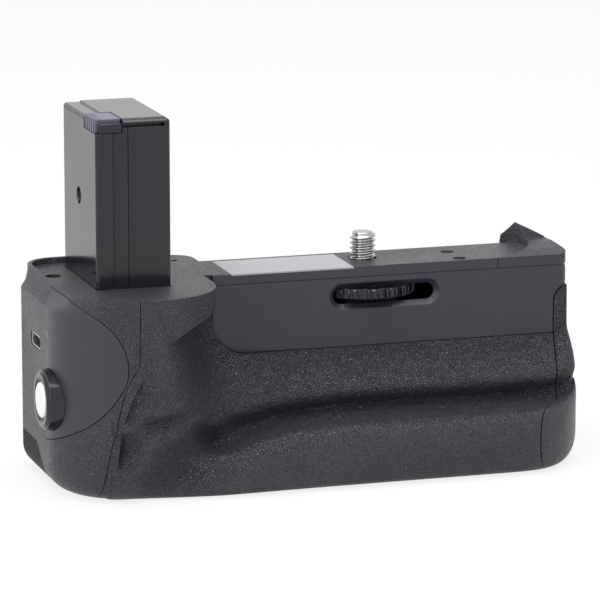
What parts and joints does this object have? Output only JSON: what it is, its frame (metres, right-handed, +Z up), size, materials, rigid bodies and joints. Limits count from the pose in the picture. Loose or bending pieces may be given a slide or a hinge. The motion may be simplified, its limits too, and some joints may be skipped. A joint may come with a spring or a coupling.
{
  "type": "camera battery grip",
  "caption": "Black vertical battery grip for a small camera: dummy-battery tower, screw turned by a thumb wheel, side shutter button and a slide-out battery tray.",
  "frame": {"origin": "tripod screw axis at the level of the top plate's upper face", "axes": "+X along the grip towards the battery door, +Y to the back, +Z up along the tripod screw"},
  "size_m": [0.1375, 0.053, 0.0895],
  "materials": {
    "leather_plastic": "fine pebbled, moulded",
    "smooth_plastic": "smooth satin, moulded",
    "grip_rubber": "pebbled rubber",
    "glossy_plastic": "glossy black",
    "lilac_plastic": "smooth, moulded",
    "label_grey": "bare printed sheet, satin",
    "contact_brass": "plated",
    "board_green": "lacquered board",
    "brushed_metal": "stamped, plain",
    "bright_chrome": "polished",
    "black_steel": "blackened",
    "battery_plastic": "plain",
    "smoked_lens": "dark clear"
  },
  "bodies": {
    "grip_body": {"left_shell": "leather_plastic", "finger_panel": "smooth_plastic", "corner_cover": "glossy_plastic", "front_shell": "leather_plastic", "rubber_grip": "grip_rubber", "back_shell": "leather_plastic", "thumb_pad": "grip_rubber", "bottom_cover": "smooth_plastic", "case_screws": "black_steel", "tripod_socket": "brushed_metal", "front_panel": "smooth_plastic", "deck_plate": "leather_plastic", "top_plate": "smooth_plastic", "label_plate": "label_grey", "horn": "leather_plastic", "tower_case": "glossy_plastic", "tower_lid": "glossy_plastic", "contact_block": "lilac_plastic", "contact_blades": "contact_brass", "tower_board": "board_green", "screw_bearing": "brushed_metal", "wheel_bracket": "smooth_plastic", "battery_bay": "smooth_plastic", "bay_pins": "contact_brass", "circuit_board": "board_green", "shutter_collar": "glossy_plastic", "side_board": "board_green", "shutter_switch": "black_steel", "port_shell": "brushed_metal", "port_tongue": "smooth_plastic", "indicator_light": "smoked_lens"},
    "tray_body": {"battery_door": "grip_rubber", "battery_tray": "smooth_plastic", "tray_contacts": "contact_brass", "battery_inner": "battery_plastic", "battery_outer": "battery_plastic", "door_screws": "black_steel"},
    "wheel_body": {"tripod_screw": "bright_chrome", "thumb_wheel": "glossy_plastic"},
    "latch_body": {"latch": "smooth_plastic"},
    "button_body": {"shutter_button": "bright_chrome"}
  },
  "joints": [
    {"name": "tray_slide", "type": "slide", "parent": "grip_body", "child": "tray_body", "axis": [1, 0, 0], "range_m": [0, 0.09]},
    {"name": "wheel_turn", "type": "hinge", "parent": "grip_body", "child": "wheel_body", "pos_m": [0, 0, 0], "axis": [0, 0, 1], "continuous": true},
    {"name": "latch_slide", "type": "slide", "parent": "tray_body", "child": "latch_body", "axis": [0, 1, 0], "range_m": [0, 0.004]},
    {"name": "shutter_press", "type": "slide", "parent": "grip_body", "child": "button_body", "axis": [1, 0, 0], "range_m": [0, 0.001], "stiffness_N_per_m": 400, "springref_m": -0.0005}
  ]
}
